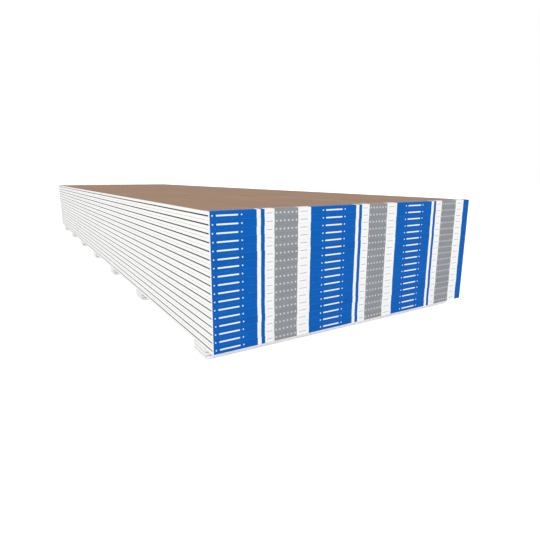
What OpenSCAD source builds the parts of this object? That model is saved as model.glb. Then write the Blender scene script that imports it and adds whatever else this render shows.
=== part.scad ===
// A lift of drywall: tapered-edge gypsum sheets laid face to face in pairs, each pair
// bound at both ends by a folded paper tape, stacked on risers laminated from sheet strips.
// Millimetres. X runs across the sheets, Y along them and Z up.
// The origin is on the floor, under the middle of the lift.

/* [Sheet] */
// Width of a sheet, across the lift
sheet_w = 1219.2; // [600:0.1:1400]
// Length of a sheet, along the lift
sheet_l = 4267.2; // [1800:0.1:4900]
// Thickness of a sheet between its tapered edges
sheet_t = 12.7; // [9.5:0.1:25.4]
// Width of the taper beside each long edge of the face
taper_w = 63.5; // [30:0.5:100]
// Depth of the taper at the long edge
taper_d = 1.9; // [0.5:0.1:2.5]
// Radius of the paper's fold round the long edges
fold_r = 1.5; // [0.5:0.1:3]

/* [Stack] */
// Number of taped pairs of sheets, from the risers to the top
pair_count = 17; // [2:1:17]

/* [End tape] */
// Thickness of the tape with its glue
tape_t = 0.3; // [0.1:0.05:0.8]
// Length of the flap that is folded onto each sheet's back
tape_flap = 25; // [10:1:60]

/* [Riser] */
// Number of risers under the lift
riser_count = 7; // [3:1:9]
// Number of strips laminated into one riser
strip_count = 3; // [1:1:6]
// Width of a strip, along the lift
strip_w = 101.6; // [60:0.1:180]
// Thickness of the glue between two strips
glue_t = 0.2; // [0.1:0.05:0.5]
// Distance from the sheets' ends at -Y to the outer side of the first riser
riser_setback = 59; // [0:1:300]
// Distance between the middles of the first two risers
first_bay = 776; // [200:1:900]
// Distance from the sheets' ends at +Y to the outer side of the last riser
rear_setback = 211; // [0:1:400]

/* [Hidden] */
sheet_count = 2 * pair_count;
pair_t = 2 * sheet_t;
layer_pitch = pair_t + 2 * tape_t;
riser_h = strip_count * sheet_t + (strip_count - 1) * glue_t;
riser_pitch = (sheet_l - riser_setback - first_bay - strip_w - rear_setback) / (riser_count - 2);
// The lowest sheet rests on the risers; where its tape reaches over a riser, it rests on the tape.
stack_z = riser_h + (min(riser_setback, rear_setback) < tape_flap ? tape_t : 0);
taper_slope = atan(taper_d / taper_w);
fold_steps = 4;
paper_white = [0.95, 0.95, 0.93];
tape_blue = [0.05, 0.40, 0.76];
core_white = [0.90, 0.90, 0.88];

function two_digits(n) = str(n < 10 ? "0" : "", n);
function sheet_name(n) = str("sheet_", two_digits(n));
function tape_name(n) = str("end_tapes_", two_digits(n));
function riser_name(n) = str("riser_", n);

// Height of a pair's lower back above the floor, for pairs counted from 1
function pair_z(n) = stack_z + (n - 1) * layer_pitch;

// Middle of a riser along the lift, for risers counted from 1. The first bay has a length of its
// own, and the other bays are even.
function riser_y(n) =
    riser_setback + strip_w / 2 - sheet_l / 2 + (n == 1 ? 0 : first_bay + (n - 2) * riser_pitch);

// Points of an arc about a centre, from one angle to another
function arc(x, y, r, from, to) =
    [for (k = [0:fold_steps]) let (a = from + (to - from) * k / fold_steps) [x + r * cos(a), y + r * sin(a)]];

// Cross-section of a sheet with its back on the X axis and its face up. Each long edge has a
// paper fold at the back and one at the face, where it is tangent to the taper.
module sheet_section() {
    edge_x = sheet_w / 2;
    fold_x = edge_x - fold_r;
    face_fold_y = sheet_t - taper_d * (taper_w - fold_r) / taper_w - fold_r / cos(taper_slope);
    right_edge = concat(
        arc(fold_x, fold_r, fold_r, -90, 0),
        arc(fold_x, face_fold_y, fold_r, 0, 90 - taper_slope),
        [[edge_x - taper_w, sheet_t]]
    );
    left_edge = [for (k = [len(right_edge) - 1:-1:0]) [-right_edge[k].x, right_edge[k].y]];
    polygon(concat(right_edge, left_edge));
}

// A piece of sheet cut to a length along Y, its back at height 0 and its face up
module sheet_piece(length) {
    rotate([90, 0, 0])
        linear_extrude(length, center = true)
            sheet_section();
}

// One sheet of the stack. The lower one of a pair has its face up, and the upper one its face down.
module sheet(n) {
    pair = ceil(n / 2);
    is_upper = n % 2 == 0;
    color(paper_white)
        translate([0, 0, pair_z(pair) + (is_upper ? pair_t : 0)])
            mirror([0, 0, is_upper ? 1 : 0])
                sheet_piece(sheet_l);
}

// The tape folded round one end of a pair: a panel over the cut ends and a flap on each back
module end_tape() {
    outer_h = pair_t + 2 * tape_t;
    difference() {
        translate([-sheet_w / 2, -sheet_l / 2 - tape_t, -tape_t])
            cube([sheet_w, tape_t + tape_flap, outer_h]);
        translate([-sheet_w, -sheet_l / 2, 0])
            cube([2 * sheet_w, 2 * tape_flap, pair_t]);
    }
}

// Both tapes of a pair, one at each end
module end_tapes(n) {
    color(tape_blue)
        translate([0, 0, pair_z(n)])
            for (turn = [0, 180])
                rotate([0, 0, turn])
                    end_tape();
}

// A riser: strips cut across a sheet and glued on each other, all with their faces up
module riser(n) {
    color(core_white)
        for (k = [0:strip_count - 1])
            translate([0, riser_y(n), k * (sheet_t + glue_t)])
                sheet_piece(strip_w);
}

for (n = [1:sheet_count])
    sheet(n);
for (n = [1:pair_count])
    end_tapes(n);
for (n = [1:riser_count])
    riser(n);
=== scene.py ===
"""Looks of a lift of drywall: papered sheets in taped pairs, on risers sawn from sheet.

Metres. X runs across the sheets, Y along them and Z up, with the floor at 0.
"""

import math

import bpy
from bpy.props import FloatProperty, FloatVectorProperty, IntProperty, PointerProperty
from mathutils import Matrix, Vector


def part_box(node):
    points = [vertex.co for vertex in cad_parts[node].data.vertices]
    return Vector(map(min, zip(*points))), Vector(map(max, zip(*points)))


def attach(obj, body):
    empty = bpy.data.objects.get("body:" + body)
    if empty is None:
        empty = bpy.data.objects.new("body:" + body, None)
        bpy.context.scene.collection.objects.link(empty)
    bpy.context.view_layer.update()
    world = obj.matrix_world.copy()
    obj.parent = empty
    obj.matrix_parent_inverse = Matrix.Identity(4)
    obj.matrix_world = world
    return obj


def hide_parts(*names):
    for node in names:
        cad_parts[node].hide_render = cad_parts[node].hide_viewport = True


bl_info = {
    "name": "Drywall Lift",
    "version": (1, 0, 0),
    "blender": (4, 5, 0),
    "location": "3D View > Sidebar > Drywall",
    "description": "Dresses a lift of drywall: its papers, printed end tapes, sawn risers and studio",
    "category": "Object",
}

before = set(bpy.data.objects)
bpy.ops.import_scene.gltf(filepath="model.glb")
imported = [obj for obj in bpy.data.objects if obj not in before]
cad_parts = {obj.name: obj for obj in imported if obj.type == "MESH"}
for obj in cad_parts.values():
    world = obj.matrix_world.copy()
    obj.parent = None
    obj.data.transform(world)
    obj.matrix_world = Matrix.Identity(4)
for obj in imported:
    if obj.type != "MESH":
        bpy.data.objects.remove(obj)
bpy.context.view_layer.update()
MM = 0.001
BODY = "root"
# Edges that turn by more than this are shaded sharp
SHARP_ANGLE = math.radians(40)

# Sizes that the frame gives
SHEETS = sorted(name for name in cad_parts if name.startswith("sheet_"))
TAPES = sorted(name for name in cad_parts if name.startswith("end_tapes_"))
RISERS = sorted(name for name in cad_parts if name.startswith("riser_"))
SHEET_LOW, SHEET_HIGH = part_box(SHEETS[0])
TAPE_LOW, TAPE_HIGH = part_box(TAPES[0])
RISER_LOW, RISER_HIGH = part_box(RISERS[0])
SHEET_W = SHEET_HIGH.x - SHEET_LOW.x
SHEET_L = SHEET_HIGH.y - SHEET_LOW.y
SHEET_T = SHEET_HIGH.z - SHEET_LOW.z
PAIR_T = 2 * SHEET_T
TAPE_T = (TAPE_HIGH.y - TAPE_LOW.y - SHEET_L) / 2
LAYER_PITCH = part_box(TAPES[1])[0].z - TAPE_LOW.z
FIRST_JOINT_Z = SHEET_HIGH.z
STRIP_W = RISER_HIGH.y - RISER_LOW.y
RISER_H = RISER_HIGH.z - RISER_LOW.z
STRIPS = round(RISER_H / SHEET_T)
STRIP_PITCH = (RISER_H - SHEET_T) / (STRIPS - 1)


class SheetLooks(bpy.types.PropertyGroup):
    """Papers of the sheets."""

    back_colour: FloatVectorProperty(
        name="Back paper", description="Colour of the paper on a sheet's back",
        subtype="COLOR", size=3, min=0, max=1, default=(0.315, 0.205, 0.142))
    face_colour: FloatVectorProperty(
        name="Face paper", description="Colour of the paper on a sheet's face and long edges",
        subtype="COLOR", size=3, min=0, max=1, default=(0.755, 0.753, 0.743))
    core_colour: FloatVectorProperty(
        name="Core", description="Colour of the gypsum core where it is cut",
        subtype="COLOR", size=3, min=0, max=1, default=(0.860, 0.870, 0.880))
    lap_width: FloatProperty(
        name="Lap", description="Width of the face paper that shows on the back along the long edges",
        unit="LENGTH", min=0.001, max=0.05, default=3 * MM)
    taper_width: FloatProperty(
        name="Taper width", description="Width of the tapered strip along each long edge",
        unit="LENGTH", min=0.03, max=0.1, default=63.5 * MM)
    taper_depth: FloatProperty(
        name="Taper depth", description="Depth of the taper at the long edge",
        unit="LENGTH", min=0.0005, max=0.0025, default=1.9 * MM)
    fold_radius: FloatProperty(
        name="Fold radius", description="Radius of the face paper's fold round the long edge",
        unit="LENGTH", min=0.0005, max=0.003, default=1.5 * MM)


class TapeLooks(bpy.types.PropertyGroup):
    """Shape and print of the end tapes."""

    blue: FloatVectorProperty(
        name="Blue ink", description="Colour of the wide printed blocks",
        subtype="COLOR", size=3, min=0, max=1, default=(0.002, 0.094, 0.382))
    grey: FloatVectorProperty(
        name="Grey ink", description="Colour of the narrower printed blocks",
        subtype="COLOR", size=3, min=0, max=1, default=(0.224, 0.235, 0.253))
    paper: FloatVectorProperty(
        name="Paper", description="Colour of the tape where nothing is printed",
        subtype="COLOR", size=3, min=0, max=1, default=(0.772, 0.772, 0.766))
    flap: FloatProperty(
        name="Flap", description="Length of tape that is folded onto each sheet's back",
        unit="LENGTH", min=0.01, max=0.06, default=25 * MM)
    fold_radius: FloatProperty(
        name="Fold radius", description="Inner radius of the tape's folds",
        unit="LENGTH", min=0.0001, max=0.002, default=0.5 * MM)
    ripple: FloatProperty(
        name="Ripple", description="How far the tape lifts off the sheets between its glue lines",
        unit="LENGTH", min=0, max=0.002, default=0.3 * MM)
    dent: FloatProperty(
        name="Dent", description="How far the tape is pressed into the gap between tapered edges",
        unit="LENGTH", min=0, max=0.006, default=1.6 * MM)
    curl: FloatProperty(
        name="Curl", description="How far the flap on top of the lift stands up along its edge",
        unit="LENGTH", min=0, max=0.004, default=1.2 * MM)
    repeat: FloatProperty(
        name="Repeat", description="Length of tape after which the print starts again",
        unit="LENGTH", min=0.1, max=1.3, default=SHEET_W / 3)
    stations: IntProperty(
        name="Stations", description="Rows of points along a tape", min=24, max=400, default=97)


class RiserLooks(bpy.types.PropertyGroup):
    """Shape of the sawn riser strips."""

    paper: FloatProperty(
        name="Paper", description="Thickness of the paper on a strip's two faces",
        unit="LENGTH", min=0.0001, max=0.001, default=0.4 * MM)
    recess: FloatProperty(
        name="Recess", description="How deep the saw tears the core back behind the papers",
        unit="LENGTH", min=0, max=0.003, default=0.9 * MM)
    stations: IntProperty(
        name="Stations", description="Rows of points along a strip", min=24, max=400, default=141)


class StageLooks(bpy.types.PropertyGroup):
    """Floor, light and camera."""

    floor_colour: FloatVectorProperty(
        name="Floor", description="Colour of the floor",
        subtype="COLOR", size=3, min=0, max=1, default=(0.60, 0.60, 0.60))
    floor_glow: FloatProperty(
        name="Floor glow", description="Light that comes through the floor, as on a shooting table",
        min=0, max=2, default=0.75)
    sky: FloatProperty(
        name="Sky", description="Strength of the even light from all round", min=0, max=5, default=1.0)
    key: FloatProperty(
        name="Key light", description="Power of the large soft light at the front left",
        unit="POWER", min=0, max=5000, default=30.0)
    overhead: FloatProperty(
        name="Overhead light", description="Power of the wide soft light above",
        unit="POWER", min=0, max=5000, default=55.0)
    lens: FloatProperty(
        name="Lens", description="Focal length of the camera, in millimetres",
        min=10, max=200, default=28.0)


class Wire:
    """An output socket that takes part in Python arithmetic by adding Math nodes to its tree."""

    def __init__(self, kit, socket):
        self.kit = kit
        self.socket = socket

    def other(self, name):
        """Another output of the same node."""
        return Wire(self.kit, self.socket.node.outputs[name])

    def __add__(self, value):
        return self.kit.math("ADD", self, value)

    def __sub__(self, value):
        return self.kit.math("SUBTRACT", self, value)

    def __mul__(self, value):
        return self.kit.math("MULTIPLY", self, value)

    def __truediv__(self, value):
        return self.kit.math("DIVIDE", self, value)

    def __rsub__(self, value):
        return self.kit.math("SUBTRACT", value, self)

    def __neg__(self):
        return self.kit.math("MULTIPLY", self, -1.0)

    def __abs__(self):
        return self.kit.math("ABSOLUTE", self)

    __radd__ = __add__
    __rmul__ = __mul__


class NodeKit:
    """Adds nodes to one shader or geometry tree and wires them up."""

    def __init__(self, tree):
        self.tree = tree

    def add(self, kind, settings=None, sockets=None, out=0):
        """A node of a type, with its settings made and its sockets fed; returns one of its outputs."""
        node = self.tree.nodes.new(kind)
        for name, value in (settings or {}).items():
            setattr(node, name, value)
        for key, value in (sockets or {}).items():
            self.feed(node.inputs[key], value)
        return Wire(self, node.outputs[out]) if node.outputs else node

    def feed(self, socket, value):
        """Link a wire into a socket, or set the socket's own value."""
        if isinstance(value, Wire):
            self.tree.links.new(value.socket, socket)
        elif socket.type == "RGBA":
            socket.default_value = (*value, 1.0)
        else:
            socket.default_value = value

    def math(self, operation, *values, clamp=False):
        settings = {"operation": operation, "use_clamp": clamp}
        return self.add("ShaderNodeMath", settings, dict(enumerate(values)))

    def vector(self, x=0.0, y=0.0, z=0.0):
        return self.add("ShaderNodeCombineXYZ", None, {"X": x, "Y": y, "Z": z})

    def split(self, vector):
        """The three parts of a vector."""
        x = self.add("ShaderNodeSeparateXYZ", None, {"Vector": vector}, "X")
        return x, x.other("Y"), x.other("Z")

    def ease(self, value, low, high):
        """0 below low, 1 above high and a smooth step between."""
        settings = {"interpolation_type": "SMOOTHSTEP", "clamp": True}
        sockets = {"Value": value, "From Min": low, "From Max": high}
        return self.add("ShaderNodeMapRange", settings, sockets)

    def band(self, value, low, high, soft):
        """1 between low and high, 0 outside, with soft edges."""
        past_high = self.ease(value, high - soft, high + soft)
        return self.ease(value, low - soft, low + soft) * (1.0 - past_high)

    def noise(self, vector, scale, detail=2.0, roughness=0.5, seed=0.0):
        sockets = {"Vector": vector, "Scale": scale, "Detail": detail, "Roughness": roughness, "W": seed}
        return self.add("ShaderNodeTexNoise", {"noise_dimensions": "4D"}, sockets, "Fac")

    def fibres(self, vector, scale, seed):
        """Thin curled hairs, broken up so that none runs on."""
        off_line = abs(self.noise(vector, scale, 1.0, 0.5, seed) - 0.5)
        kept = self.ease(self.noise(vector, scale * 0.6, 1.0, 0.5, seed + 5.0), 0.50, 0.58)
        return (1.0 - self.ease(off_line, 0.004, 0.03)) * kept

    def cells(self, vector, scale):
        """Distance to the nearest of scattered points, for flecks and pits."""
        return self.add("ShaderNodeTexVoronoi", None, {"Vector": vector, "Scale": scale}, "Distance")

    def chance(self, value):
        """A number from 0 to 1 that is drawn once for each whole value."""
        return self.add("ShaderNodeTexWhiteNoise", {"noise_dimensions": "1D"}, {"W": value}, "Value")

    def blend(self, factor, first, second):
        """A colour between two colours."""
        settings = {"data_type": "RGBA", "clamp_factor": True}
        return self.add("ShaderNodeMix", settings, {0: factor, 6: first, 7: second}, 2)

    def shade(self, colour, brightness):
        """A colour made lighter or darker by a factor."""
        settings = {"operation": "SCALE"}
        return self.add("ShaderNodeVectorMath", settings, {0: colour, "Scale": brightness})

    def bump(self, height):
        """Surface normals that follow a height in metres."""
        return self.add("ShaderNodeBump", None, {"Height": height, "Distance": 1.0, "Strength": 1.0})


class ShaderKit(NodeKit):
    """A node kit on the tree of a new material."""

    def __init__(self, name):
        self.material = bpy.data.materials.new(name)
        self.material.use_nodes = True
        super().__init__(self.material.node_tree)
        self.shader = self.tree.nodes["Principled BSDF"]

    def place(self):
        """Where a point is on the object, in metres."""
        return self.add("ShaderNodeTexCoord", None, None, "Object")

    def attribute(self, name):
        return self.add("ShaderNodeAttribute", {"attribute_name": name}, None, "Vector")

    def finish(self, **sockets):
        for name, value in sockets.items():
            self.feed(self.shader.inputs[name.replace("_", " ")], value)
        return self.material


class GrowthKit(NodeKit):
    """A node kit on a new geometry tree with named inputs."""

    def __init__(self, name, inputs):
        super().__init__(bpy.data.node_groups.new(name, "GeometryNodeTree"))
        face = self.tree.interface
        face.new_socket("Geometry", in_out="OUTPUT", socket_type="NodeSocketGeometry")
        for label, kind in inputs.items():
            face.new_socket(label, in_out="INPUT", socket_type="NodeSocket" + kind)
        self.inputs = self.tree.nodes.new("NodeGroupInput")

    def given(self, label):
        """The value of a named input."""
        return Wire(self, self.inputs.outputs[label])

    def position(self):
        return self.add("GeometryNodeInputPosition")

    def move(self, geometry, **sockets):
        return self.add("GeometryNodeSetPosition", None, {"Geometry": geometry, **sockets})

    def store(self, geometry, name, value):
        """Keep a vector on each point, for the material to read."""
        settings = {"data_type": "FLOAT_VECTOR", "domain": "POINT"}
        sockets = {"Geometry": geometry, "Name": name, "Value": value}
        return self.add("GeometryNodeStoreNamedAttribute", settings, sockets)

    def choose(self, index, vectors):
        """One of several vectors, by an index that counts from 0."""
        picker = self.add("GeometryNodeIndexSwitch", {"data_type": "VECTOR"})
        node = picker.socket.node
        while len(node.index_switch_items) < len(vectors):
            node.index_switch_items.new()
        self.feed(node.inputs["Index"], index)
        for number, vector in enumerate(vectors):
            self.feed(node.inputs[str(number)], vector)
        return Wire(self, node.outputs[0])

    def finish(self, geometry, material):
        """Realize what is instanced, set the material and end the tree."""
        whole = self.add("GeometryNodeRealizeInstances", None, {"Geometry": geometry})
        smooth = self.add("GeometryNodeSetShadeSmooth", None, {"Geometry": whole})
        done = self.add("GeometryNodeSetMaterial", None, {"Geometry": smooth, "Material": material})
        self.add("NodeGroupOutput", None, {"Geometry": done})
        return self.tree


def grow(name, tree, values, thickness=0.0):
    """Run a geometry tree with these inputs and return its result as an object with a plain mesh."""
    maker = bpy.data.objects.new(name + "_maker", bpy.data.meshes.new(name + "_maker"))
    bpy.context.scene.collection.objects.link(maker)
    modifier = maker.modifiers.new("grow", "NODES")
    modifier.node_group = tree
    for item in tree.interface.items_tree:
        if item.in_out == "INPUT":
            modifier[item.identifier] = values[item.name]
    if thickness:
        wall = maker.modifiers.new("wall", "SOLIDIFY")
        wall.thickness = thickness
        wall.offset = 1.0
        wall.use_even_offset = True
    graph = bpy.context.evaluated_depsgraph_get()
    mesh = bpy.data.meshes.new_from_object(
        maker.evaluated_get(graph), preserve_all_data_layers=True, depsgraph=graph)
    bpy.data.objects.remove(maker)
    if not mesh.polygons:
        raise RuntimeError("nothing grew for " + name)
    mesh.set_sharp_from_angle(angle=SHARP_ANGLE)
    piece = bpy.data.objects.new(name, mesh)
    bpy.context.scene.collection.objects.link(piece)
    return piece


# What the papers and the core hold: a matt shine, fibres, specks, dust, and the painted shade of pits
MATT = 0.03
DARK_FIBRE = (0.13, 0.085, 0.058)
PALE_FIBRE = (0.44, 0.36, 0.29)
SPECK = (0.09, 0.075, 0.07)
DUST = (0.50, 0.44, 0.39)
PIT_SHADE = (0.44, 0.42, 0.39)
# How far the edge of the back paper wanders along its lap
LAP_WANDER = 3.0 * MM


def sheet_material(looks):
    """White face paper that is folded round the long edges, brown back paper and a chalky core."""
    kit = ShaderKit("sheet papers")
    place = kit.place()
    x, y, z = kit.split(place)
    inset = SHEET_W / 2 - abs(x)
    layer = (z - FIRST_JOINT_Z) / LAYER_PITCH + 0.5
    height = (kit.math("FRACT", layer) - 0.5) * LAYER_PITCH
    sheet_number = kit.math("FLOOR", layer) * 2.0 + kit.math("SIGN", height)

    # The back paper ends a little unevenly on the lap of the face paper.
    wander = (kit.noise(place, 9.0, 4.0) - 0.5) * LAP_WANDER
    on_back = kit.ease(abs(height), SHEET_T - 0.2 * MM, SHEET_T - 0.1 * MM)
    inside_lap = kit.ease(inset + wander, looks.lap_width - 0.3 * MM, looks.lap_width + 0.3 * MM)
    back = on_back * inside_lap
    # Painted shade: the face paper is darkened within about 3 mm of each joint between the faces of a
    # pair, where it lines the gap between the tapered edges.
    painted_gap_shade = kit.ease(inset, 0.1 * MM, 1.2 * MM) * (1.0 - kit.ease(abs(height), 2.4 * MM, 3.2 * MM))
    cut_end = kit.ease(abs(y), SHEET_L / 2 - 0.1 * MM, SHEET_L / 2 - 0.05 * MM)

    # Fibres, streaks along the sheet, clouding of the papers and a thin film of gypsum dust
    streaks = kit.noise(kit.vector(x * 260.0, y * 5.0, z * 40.0), 1.0, 3.0)
    bands = kit.noise(kit.vector(x * 21.0, y * 0.4, z * 7.0), 1.0, 3.0)
    dust = kit.ease(kit.noise(kit.vector(x * 8.0, y * 2.4, z * 7.0), 1.0, 6.0, 0.62, 4.0), 0.50, 0.80)
    clouds = kit.noise(place, 3.2, 4.0, 0.6)
    mottle = kit.noise(place, 85.0, 3.0, 0.6)
    grain = kit.noise(place, 900.0, 3.0, 0.65)
    dark_fibres = kit.fibres(place, 330.0, 1.0)
    pale_fibres = kit.fibres(place, 260.0, 2.0)
    specks = 1.0 - kit.ease(kit.cells(place, 120.0), 0.03, 0.09)
    tint = kit.chance(sheet_number)

    back_light = 0.50 + 0.30 * clouds + 0.20 * bands + 0.18 * streaks + 0.14 * mottle + 0.16 * grain
    back_paper = kit.shade(looks.back_colour, back_light)
    back_paper = kit.blend(dark_fibres * 0.40, back_paper, DARK_FIBRE)
    back_paper = kit.blend(pale_fibres * 0.35, back_paper, PALE_FIBRE)
    back_paper = kit.blend(specks * 0.55, back_paper, SPECK)
    back_paper = kit.blend(dust * 0.22, back_paper, DUST)

    # The long edges are rubbed and scuffed a little in handling.
    rubs = kit.noise(kit.vector(y * 2.5, z * 420.0, 0.0), 1.0, 4.0, 0.6, tint)
    scuffs = kit.ease(kit.noise(kit.vector(y * 16.0, z * 190.0, 0.0), 1.0, 4.0, 0.65, tint), 0.60, 0.74)
    face_light = 0.925 + 0.03 * clouds + 0.03 * mottle + 0.025 * grain + 0.03 * tint + 0.06 * rubs
    face_light = face_light * (1.0 - 0.09 * scuffs) * (1.0 - 0.05 * dark_fibres)
    # The face paper carries painted shade inside the taper gap.
    face_paper = kit.shade(looks.face_colour, face_light * (1.0 - 0.60 * painted_gap_shade))
    core = kit.shade(looks.core_colour, 0.90 + 0.15 * grain)
    colour = kit.blend(back, face_paper, back_paper)
    colour = kit.blend(cut_end, colour, core)

    fuzz = dark_fibres + pale_fibres
    relief = grain * (0.05 * MM) + fuzz * (0.06 * MM) + mottle * (0.10 * MM) + back * (0.25 * MM)
    return kit.finish(
        Specular_IOR_Level=MATT,
        Base_Color=colour,
        Roughness=0.74 + 0.14 * grain + 0.06 * back,
        Normal=kit.bump(relief))


# The tape's print, in millimetres along a repeat: blocks of ink from start to end, and round-ended
# marks as middle and half length
BLUE_BLOCKS = ((4, 204), (218, 232))
GREY_BLOCKS = ((268, 359),)
BLUE_MARKS = ((104, 34), (56, 0), (152, 0))
PLAIN_MARKS = ((250, 10), (383, 14))
MARK_RADIUS = 2.4
PLAIN_MARK_RADIUS = 1.2
DOT_RADIUS = 3.1
DOT_PITCH = 15.2
PRINT_START = 44.0
# Plain paper along the edges of the flaps and at the tape's cut ends, and how soft the ink's edges are
FLAP_MARGIN = 2.0
CUT_MARGIN = 3.5
INK_EDGE = 0.3
MARK_EDGE = 0.25


def tape_material(looks):
    """Printed paper: upright blocks of blue and grey with plain dashes and dots, worn along the folds."""
    kit = ShaderKit("printed tape")
    place = kit.place()
    along, across, number = kit.split(kit.attribute("web"))
    mottle = kit.noise(place, 700.0, 3.0)
    spread = (kit.noise(place, 1600.0, 2.0) - 0.5) * 0.7
    start = along / looks.repeat + 0.5 + PRINT_START * MM / looks.repeat
    mm_along = kit.math("FRACT", start) * (looks.repeat / MM) + spread
    mm_across = across / MM + spread * 0.6
    half_panel = PAIR_T / 2 / MM

    def blocks(spans):
        total = 0.0
        for low, high in spans:
            total = kit.band(mm_along, low, high, INK_EDGE) + total
        return total

    def round_mark(along_it, half_length, radius):
        past_end = kit.math("MAXIMUM", abs(along_it) - half_length, 0.0)
        distance = kit.math("SQRT", past_end * past_end + mm_across * mm_across)
        return 1.0 - kit.ease(distance, radius - MARK_EDGE, radius + MARK_EDGE)

    def marks(spans, radius):
        total = 0.0
        for middle, half_length in spans:
            total = round_mark(mm_along - middle, half_length, radius) + total
        return total

    in_dot = (kit.math("FRACT", (mm_along - GREY_BLOCKS[0][0]) / DOT_PITCH) - 0.5) * DOT_PITCH
    dots = round_mark(in_dot, 0.0, DOT_RADIUS)
    print_half = half_panel + looks.flap / MM - FLAP_MARGIN
    inked = 1.0 - kit.ease(abs(mm_across), print_half - INK_EDGE, print_half + INK_EDGE)
    from_cut = (SHEET_W / 2 - abs(kit.split(place)[0])) / MM + spread * 1.5
    inked = inked * kit.ease(from_cut, CUT_MARGIN - INK_EDGE, CUT_MARGIN + INK_EDGE)
    blue_ink = blocks(BLUE_BLOCKS) * (1.0 - marks(BLUE_MARKS, MARK_RADIUS)) * inked
    grey_ink = blocks(GREY_BLOCKS) * (1.0 - 0.62 * dots) * inked
    plain_ink = marks(PLAIN_MARKS, PLAIN_MARK_RADIUS)

    clouds = kit.noise(place, 16.0, 3.0)
    rubs = kit.noise(kit.vector(along * 14.0, across * 900.0, 0.0), 1.0, 4.0, 0.65, number)
    ink_light = 0.77 + 0.18 * clouds + 0.12 * mottle + 0.08 * kit.chance(number) + 0.16 * rubs
    blue = kit.shade(looks.blue, ink_light)
    grey = kit.shade(looks.grey, ink_light)
    fibres = kit.fibres(place, 420.0, 3.0)
    paper = kit.shade(looks.paper, (0.955 + 0.04 * clouds + 0.04 * mottle) * (1.0 - 0.07 * fibres))
    colour = kit.blend(blue_ink, paper, blue)
    colour = kit.blend(grey_ink, colour, grey)
    colour = kit.blend(plain_ink * 0.7, colour, grey)

    # Ink cracks off along the folds.
    near_fold = 1.0 - kit.ease(abs(abs(mm_across) - (half_panel + 0.3)), 0.2, 1.0)
    cracks = near_fold * kit.ease(kit.noise(place, 420.0, 3.0), 0.42, 0.66)
    scuffs = kit.ease(rubs * 0.7 + mottle * 0.3, 0.60, 0.72)
    colour = kit.blend(kit.math("MAXIMUM", cracks * 0.2, scuffs * 0.16), colour, paper)
    ink = kit.math("MAXIMUM", blue_ink, grey_ink)
    relief = mottle * (0.04 * MM) + fibres * (0.04 * MM) + cracks * (0.05 * MM)
    return kit.finish(
        Specular_IOR_Level=MATT,
        Base_Color=colour,
        Roughness=0.62 - 0.10 * ink + 0.10 * mottle,
        Normal=kit.bump(relief))


# Points round a fold of the tape. The rows of its panel within the crease follow the gap between the
# tapered edges, and those past the calm height lie as they are.
FOLD_STEPS = 4
CREASE = 1.0 * MM
CALM = 7.5 * MM
LEAST_GAP = 0.7 * MM
# Where the panel stops lifting before a fold, and where the top flap starts to curl after one
PANEL_EDGE = 3.0 * MM
CURL_START = 6.0 * MM
# How unevenly the prints of the tapes lie over each other
TAPE_SHIFT = 1.8 * MM


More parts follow.
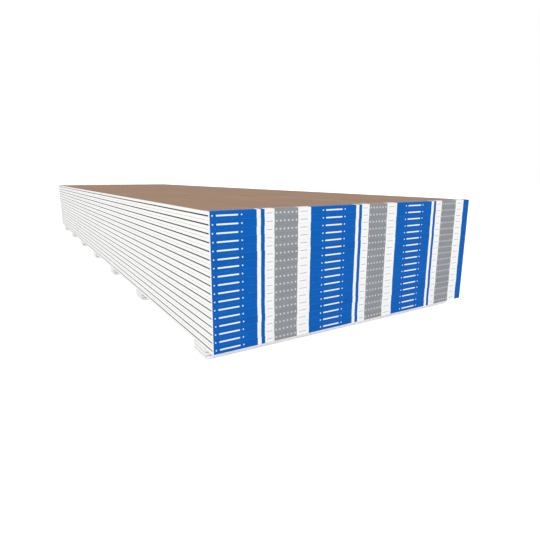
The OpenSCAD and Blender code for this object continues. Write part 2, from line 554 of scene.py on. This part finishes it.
def tape_tree(material):
    """The tapes of one pair: a strip bent round the end of the pair, at both ends of the lift."""
    kit = GrowthKit("end tapes", {
        "Width": "Float", "Half Length": "Float", "Pair Thickness": "Float", "Flap": "Float",
        "Fold Radius": "Float", "Joint Height": "Float", "Ripple": "Float", "Dent": "Float",
        "Taper Width": "Float", "Taper Depth": "Float", "Free Flap": "Float", "Stations": "Int",
        "Number": "Float"})
    half_t = kit.given("Pair Thickness") * 0.5
    flap = kit.given("Flap")
    radius = kit.given("Fold Radius")

    # The section from its middle to the upper flap's edge: distance from the sheets' ends, height, and
    # distance along the tape. The lower half is its mirror image.
    upper = [(0.0, row, row) for row in (0.5 * CREASE, CREASE, 2.4 * CREASE, CALM)]
    bend = half_t - radius
    for step in range(FOLD_STEPS + 1):
        angle = step / FOLD_STEPS * math.pi / 2
        inward = radius * (1 - math.cos(angle))
        upper.append((inward, bend + radius * math.sin(angle), bend + radius * angle))
    for share in (0.3, 0.65, 1.0):
        reach = (flap - radius) * share
        upper.append((reach + radius, half_t, reach + bend + radius * (math.pi / 2)))
    lower = [(inward, -height, -walk) for inward, height, walk in reversed(upper)]
    section = [kit.vector(*row) for row in lower + [(0.0, 0.0, 0.0)] + upper]

    # A grid with one row of points for each point of the section
    grid = kit.add("GeometryNodeMeshGrid", None, {
        "Size X": kit.given("Width"), "Size Y": 1.0,
        "Vertices X": kit.given("Stations"), "Vertices Y": len(section)})
    index = kit.add("GeometryNodeInputIndex")
    row = kit.math("FLOORED_MODULO", index, float(len(section)))
    y, z, across = kit.split(kit.choose(row, section))
    x = kit.split(kit.position())[0]

    # The panel lifts a little between glue lines, and its middle rows follow the gap at the tapered
    # corners.
    number = kit.given("Number")
    on_panel = 1.0 - kit.ease(abs(across), half_t - PANEL_EDGE, half_t)
    waves = kit.noise(kit.vector(x, across * 2.0, 0.0), 16.0, 2.0, 0.5, number)
    lift = kit.ease(waves, 0.42, 0.75) * on_panel * kit.given("Ripple")
    taper = kit.given("Taper Width")
    wedge = (abs(x) - (kit.given("Width") * 0.5 - taper)) / taper
    opening = kit.math("MAXIMUM", wedge, 0.0)
    gap = kit.math("MAXIMUM", opening * kit.given("Taper Depth"), LEAST_GAP)
    height = abs(z)
    in_gap = kit.math("MINIMUM", height / CREASE, 1.0) * gap
    past_gap = kit.math("DIVIDE", height - CREASE, CALM - CREASE, clamp=True) * (CALM - gap)
    row_height = kit.math("SIGN", z) * (in_gap + past_gap + kit.math("MAXIMUM", height - CALM, 0.0))
    dip = opening * (1.0 - kit.ease(height, 0.0, CREASE)) * kit.given("Dent")

    # The flap on top of the lift stands up a little along its edge.
    on_flap = kit.ease(across, half_t + CURL_START, half_t + flap) * kit.given("Free Flap")
    curl = on_flap * kit.noise(kit.vector(x, 0.0, 0.0), 9.0, 3.0, 0.5, number + 0.5)
    shift = (kit.chance(number) - 0.5) * TAPE_SHIFT
    bent = kit.store(grid, "web", kit.vector(x + shift, across + row_height - z, number))
    bent = kit.move(bent, Position=kit.vector(x, y - lift + dip, row_height + curl))

    # The same tape at both ends, turned about the lift's middle
    ends = kit.add("GeometryNodeMeshLine", None, {"Count": 2})
    end_y = (index * 2.0 - 1.0) * kit.given("Half Length")
    ends = kit.move(ends, Position=kit.vector(0.0, end_y, kit.given("Joint Height")))
    both = kit.add("GeometryNodeInstanceOnPoints", None, {
        "Points": ends, "Instance": bent, "Rotation": kit.vector(0.0, 0.0, index * math.pi)})
    return kit.finish(both, material)


# What a point of a riser strip is, as the shape tells the material
PLY_FACE = 0.0
PLY_CORE = 0.5
PLY_BACK = 1.0


def riser_material(looks):
    """Sawn gypsum between papers: a chalky, pitted core with saw marks, white face and brown back."""
    kit = ShaderKit("sawn riser")
    place = kit.place()
    x, y, z = kit.split(place)
    ply = kit.split(kit.attribute("ply"))[0]
    core = kit.band(ply, (PLY_FACE + PLY_CORE) / 2, (PLY_CORE + PLY_BACK) / 2, 0.1)
    back = kit.ease(ply, 0.8, 0.9)
    grain = kit.noise(place, 900.0, 4.0, 0.65)
    clouds = kit.noise(place, 11.0, 4.0, 0.6)
    wide_pits = 1.0 - kit.ease(kit.cells(place, 430.0), 0.08, 0.24)
    fine_pits = 1.0 - kit.ease(kit.cells(place, 1150.0), 0.10, 0.28)
    pitted = kit.ease(kit.noise(place, 130.0, 2.0), 0.40, 0.60)
    pits = kit.math("MAXIMUM", wide_pits * pitted, fine_pits * 0.7)
    saw = kit.noise(kit.vector(x * 700.0 + z * 250.0, y * 30.0, z * 60.0), 1.0, 2.0)
    core_light = 0.86 + 0.10 * clouds + 0.10 * grain + 0.08 * saw
    # Painted shade: the core is darkened towards a grey where it is pitted.
    core_colour = kit.blend(pits * 0.45, kit.shade(looks.core_colour, core_light), PIT_SHADE)
    fibres = kit.fibres(place, 330.0, 1.0)
    face_light = (0.94 + 0.04 * clouds + 0.04 * grain) * (1.0 - 0.06 * fibres)
    face_colour = kit.shade(looks.face_colour, face_light)
    back_colour = kit.shade(looks.back_colour, 0.82 + 0.22 * clouds + 0.12 * grain)
    colour = kit.blend(back, kit.blend(core, face_colour, core_colour), back_colour)
    relief = grain * (0.08 * MM) + core * (saw * (0.20 * MM) - pits * (0.35 * MM))
    return kit.finish(
        Specular_IOR_Level=MATT,
        Base_Color=colour,
        Roughness=0.80 + 0.15 * grain,
        Normal=kit.bump(relief))


# Points down the core's sawn side, as shares of its height
DOWN_CORE = (1.0, 0.76, 0.5, 0.24, 0.0)
# How much the stations of a strip crowd towards its ends, the stretch that brings the last two of them
# together there, and the span of stations that close an end
CROWDING = 1.7
END_STRETCH = 1.012
END_SPAN = (0.9995, 0.9999)
# Unevenness of the cut papers, recess of the closed ends and the gap below which points are merged
PAPER_FUZZ = 0.8 * MM
END_RECESS = 0.4 * MM
MERGE_GAP = 0.004 * MM
# How much wider the lap of face paper is on the sawn strips than on the sheets
STRIP_LAP = 5


def riser_tree(material):
    """A stack of strips sawn across a sheet, with tapered ends and a torn core between papers."""
    kit = GrowthKit("sawn riser", {
        "Length": "Float", "Width": "Float", "Thickness": "Float", "Taper Width": "Float",
        "Taper Depth": "Float", "Fold Radius": "Float", "Paper": "Float", "Recess": "Float",
        "Lap": "Float", "Strips": "Int", "Strip Pitch": "Float", "Stations": "Int", "Middle": "Float",
        "Seed": "Float"})
    paper = kit.given("Paper")
    # Round the section: side, share of the core's height, papers above that, what is there and whether
    # the saw tore it. Each side has the face paper's edge, the points down the core and the back
    # paper's edge.
    right = [(1, 1.0, 1, PLY_FACE, 0), (1, 1.0, 0, PLY_FACE, 0)]
    right += [(1, share, 0, PLY_CORE, 1) for share in DOWN_CORE]
    right += [(1, 0.0, 0, PLY_BACK, 0), (1, 0.0, -1, PLY_BACK, 0)]
    left = [(-1, *rest) for _, *rest in reversed(right)]
    ring = right + left + right[:1]
    sides = [(side, share, edge) for side, share, edge, _, _ in ring]
    kinds = [(kind, torn, 0.0) for _, _, _, kind, torn in ring]

    index = kit.add("GeometryNodeInputIndex")
    grid = kit.add("GeometryNodeMeshGrid", None, {
        "Size X": 2.0, "Size Y": 1.0, "Vertices X": kit.given("Stations"), "Vertices Y": len(ring)})
    point = kit.math("FLOORED_MODULO", index, float(len(ring)))
    side, share, edge = kit.split(kit.choose(point, sides))
    kind, torn, _ = kit.split(kit.choose(point, kinds))

    # Stations crowd towards the ends; the outermost close the end of the strip.
    station = kit.split(kit.position())[0]
    inner = kit.math("MINIMUM", abs(station) * END_STRETCH, 1.0)
    closing = kit.ease(abs(station), *END_SPAN)
    from_end = kit.math("POWER", 1.0 - inner, CROWDING)
    half_length = kit.given("Length") * 0.5
    inset = from_end * half_length
    x = kit.math("SIGN", station) * (half_length - inset)
    radius = kit.given("Fold Radius")
    lean = kit.math("MAXIMUM", radius - inset, 0.0)
    round_off = radius - kit.math("SQRT", kit.math("MAXIMUM", radius * radius - lean * lean, 0.0))
    taper = kit.given("Taper Depth") * (1.0 - kit.math("MINIMUM", inset / kit.given("Taper Width"), 1.0))
    low = round_off
    high = kit.given("Thickness") - taper - round_off
    core_low = low + paper
    core_high = high - paper
    z = core_low + share * (core_high - core_low) + edge * paper
    z = z + closing * ((low + high) * 0.5 - z)

    seed = kit.given("Seed")
    strip = kit.add("GeometryNodeMeshLine", None, {
        "Count": kit.given("Strips"), "Offset": kit.vector(0.0, 0.0, kit.given("Strip Pitch"))})
    tear = kit.noise(kit.vector(x * 1.6, side, z), 95.0, 3.0, 0.6, seed)
    chips = kit.ease(kit.noise(kit.vector(x, side, z * 2.0), 22.0, 2.0, 0.5, seed + 7.0), 0.60, 0.72)
    fuzz = (kit.noise(kit.vector(x, side, edge), 60.0, 3.0, 0.5, seed + 3.0) - 0.5) * PAPER_FUZZ
    depth = torn * (0.25 + 0.75 * tear + 0.9 * chips) * kit.given("Recess") + (1.0 - torn) * abs(fuzz)
    depth = depth + closing * (END_RECESS - depth)
    y = side * (kit.given("Width") * 0.5 - depth)

    # Face paper covers the folded ends and the lap.
    lap = kit.given("Lap")
    is_back = kit.math("GREATER_THAN", kind, (PLY_CORE + PLY_BACK) / 2)
    uncovered = kit.ease(inset, 0.2 * MM + is_back * (lap - 0.5 * MM), 0.5 * MM + is_back * lap)
    body = kit.store(grid, "ply", kit.vector(kind * uncovered))
    body = kit.move(body, Position=kit.vector(x, y, z))
    body = kit.add("GeometryNodeMergeByDistance", None, {"Geometry": body, "Distance": MERGE_GAP})
    strip = kit.move(strip, Offset=kit.vector(0.0, kit.given("Middle")))
    whole = kit.add("GeometryNodeInstanceOnPoints", None, {"Points": strip, "Instance": body})
    return kit.finish(whole, material)


class DRYWALL_OT_dress_sheets(bpy.types.Operator):
    """Give the sheets their papers"""

    bl_idname = "drywall.dress_sheets"
    bl_label = "Dress Sheets"

    def execute(self, context):
        papers = sheet_material(context.scene.drywall_sheets)
        for name in SHEETS:
            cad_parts[name].data.materials.clear()
            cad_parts[name].data.materials.append(papers)
        return {"FINISHED"}


class DRYWALL_OT_wrap_tapes(bpy.types.Operator):
    """Fold a printed tape round both ends of each pair of sheets"""

    bl_idname = "drywall.wrap_tapes"
    bl_label = "Wrap End Tapes"

    def execute(self, context):
        looks = context.scene.drywall_tapes
        sheets = context.scene.drywall_sheets
        tree = tape_tree(tape_material(looks))
        for number, node in enumerate(TAPES, 1):
            low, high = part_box(node)
            tape = grow("printed_tapes_%02d" % number, tree, {
                "Width": SHEET_W, "Half Length": SHEET_L / 2, "Pair Thickness": PAIR_T,
                "Flap": looks.flap, "Fold Radius": looks.fold_radius,
                "Joint Height": (low.z + high.z) / 2, "Ripple": looks.ripple, "Dent": looks.dent,
                "Taper Width": sheets.taper_width, "Taper Depth": sheets.taper_depth,
                "Free Flap": looks.curl if node == TAPES[-1] else 0.0, "Stations": looks.stations,
                "Number": float(number)}, TAPE_T)
            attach(tape, BODY)
            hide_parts(node)
        return {"FINISHED"}


class DRYWALL_OT_saw_risers(bpy.types.Operator):
    """Make the risers from strips sawn across a sheet"""

    bl_idname = "drywall.saw_risers"
    bl_label = "Saw Risers"

    def execute(self, context):
        looks = context.scene.drywall_risers
        sheets = context.scene.drywall_sheets
        tree = riser_tree(riser_material(sheets))
        for number, node in enumerate(RISERS, 1):
            low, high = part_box(node)
            riser = grow("sawn_riser_%d" % number, tree, {
                "Length": SHEET_W, "Width": STRIP_W, "Thickness": SHEET_T,
                "Taper Width": sheets.taper_width, "Taper Depth": sheets.taper_depth,
                "Fold Radius": sheets.fold_radius, "Paper": looks.paper, "Recess": looks.recess,
                "Lap": STRIP_LAP * sheets.lap_width,
                "Strips": STRIPS, "Strip Pitch": STRIP_PITCH, "Stations": looks.stations,
                "Middle": (low.y + high.y) / 2, "Seed": float(number)})
            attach(riser, BODY)
            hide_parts(node)
        return {"FINISHED"}


# The camera of the photograph: place, heading from +Y towards +X, and tilt down
CAMERA_PLACE = (-1.0874, -3.2580, 0.5785)
CAMERA_HEADING = math.radians(31.349)
CAMERA_TILT = math.radians(12.575)
CAMERA_SENSOR = 36.0
CAMERA_REACH = 100.0
FLOOR_SIZE = 60.0
# Softboxes, each with its size, its place and the point that it faces
KEY_BOX = {"size": (5.0, 3.0), "place": (-5.4, -3.4, 3.2), "target": (-0.3, -1.2, 0.2)}
OVERHEAD_BOX = {"size": (9.0, 12.0), "place": (0.0, 0.0, 5.5), "target": (0.0, 0.0, 0.0)}


class DRYWALL_OT_set_stage(bpy.types.Operator):
    """Add the floor, the light and the camera"""

    bl_idname = "drywall.set_stage"
    bl_label = "Set Stage"

    def execute(self, context):
        looks = context.scene.drywall_stage
        self.lay_floor(context, looks)
        self.light(context, looks)
        self.aim_camera(context, looks)
        return {"FINISHED"}

    def lay_floor(self, context, looks):
        kit = ShaderKit("studio floor")
        cloud = kit.noise(kit.place(), 0.7, 2.0)
        material = kit.finish(
            Base_Color=kit.shade(looks.floor_colour, 0.99 + 0.02 * cloud), Roughness=0.9,
            Emission_Color=(1.0, 1.0, 1.0), Emission_Strength=looks.floor_glow)
        mesh = bpy.data.meshes.new("floor")
        half = FLOOR_SIZE / 2
        corners = [(-half, -half, 0), (half, -half, 0), (half, half, 0), (-half, half, 0)]
        mesh.from_pydata(corners, [], [(0, 1, 2, 3)])
        mesh.materials.append(material)
        floor = bpy.data.objects.new("floor", mesh)
        context.scene.collection.objects.link(floor)

    def light(self, context, looks):
        world = bpy.data.worlds.new("studio")
        context.scene.world = world
        world.use_nodes = True
        sky = world.node_tree.nodes["Background"]
        sky.inputs["Color"].default_value = (1.0, 1.0, 1.0, 1.0)
        sky.inputs["Strength"].default_value = looks.sky
        self.softbox(context, "key", looks.key, **KEY_BOX)
        self.softbox(context, "overhead", looks.overhead, **OVERHEAD_BOX)
        view = context.scene.view_settings
        view.view_transform = "Standard"
        view.look = "None"

    def softbox(self, context, name, power, size, place, target):
        lamp = bpy.data.lights.new(name, "AREA")
        lamp.shape = "RECTANGLE"
        lamp.size, lamp.size_y = size
        lamp.energy = power
        box = bpy.data.objects.new(name, lamp)
        aim = (Vector(target) - Vector(place)).to_track_quat("-Z", "Y")
        box.matrix_world = Matrix.Translation(place) @ aim.to_matrix().to_4x4()
        context.scene.collection.objects.link(box)

    def aim_camera(self, context, looks):
        lens = bpy.data.cameras.new("camera")
        lens.sensor_width = CAMERA_SENSOR
        lens.lens = looks.lens
        lens.clip_end = CAMERA_REACH
        camera = bpy.data.objects.new("camera", lens)
        heading = Matrix.Rotation(-CAMERA_HEADING, 4, "Z")
        tilt = Matrix.Rotation(math.pi / 2 - CAMERA_TILT, 4, "X")
        camera.matrix_world = Matrix.Translation(CAMERA_PLACE) @ heading @ tilt
        context.scene.collection.objects.link(camera)
        context.scene.camera = camera


class DRYWALL_PT_lift(bpy.types.Panel):
    """Sizes and colours of the lift, with the steps that make it"""

    bl_idname = "DRYWALL_PT_lift"
    bl_label = "Drywall Lift"
    bl_space_type = "VIEW_3D"
    bl_region_type = "UI"
    bl_category = "Drywall"

    def draw(self, context):
        for operator, settings in STEPS:
            box = self.layout.box()
            group = getattr(context.scene, settings)
            for name in type(group).__annotations__:
                box.prop(group, name)
            box.operator(operator.bl_idname)


STEPS = (
    (DRYWALL_OT_dress_sheets, "drywall_sheets"),
    (DRYWALL_OT_wrap_tapes, "drywall_tapes"),
    (DRYWALL_OT_saw_risers, "drywall_risers"),
    (DRYWALL_OT_set_stage, "drywall_stage"),
)
SETTINGS = {
    "drywall_sheets": SheetLooks,
    "drywall_tapes": TapeLooks,
    "drywall_risers": RiserLooks,
    "drywall_stage": StageLooks,
}
CLASSES = (*SETTINGS.values(), *(operator for operator, _ in STEPS), DRYWALL_PT_lift)


def register():
    for cls in CLASSES:
        bpy.utils.register_class(cls)
    for name, group in SETTINGS.items():
        setattr(bpy.types.Scene, name, PointerProperty(type=group))


def unregister():
    for name in SETTINGS:
        delattr(bpy.types.Scene, name)
    for cls in reversed(CLASSES):
        bpy.utils.unregister_class(cls)


def main():
    register()
    bpy.ops.drywall.dress_sheets()
    bpy.ops.drywall.wrap_tapes()
    bpy.ops.drywall.saw_risers()
    bpy.ops.drywall.set_stage()


if __name__ == "__main__":
    main()
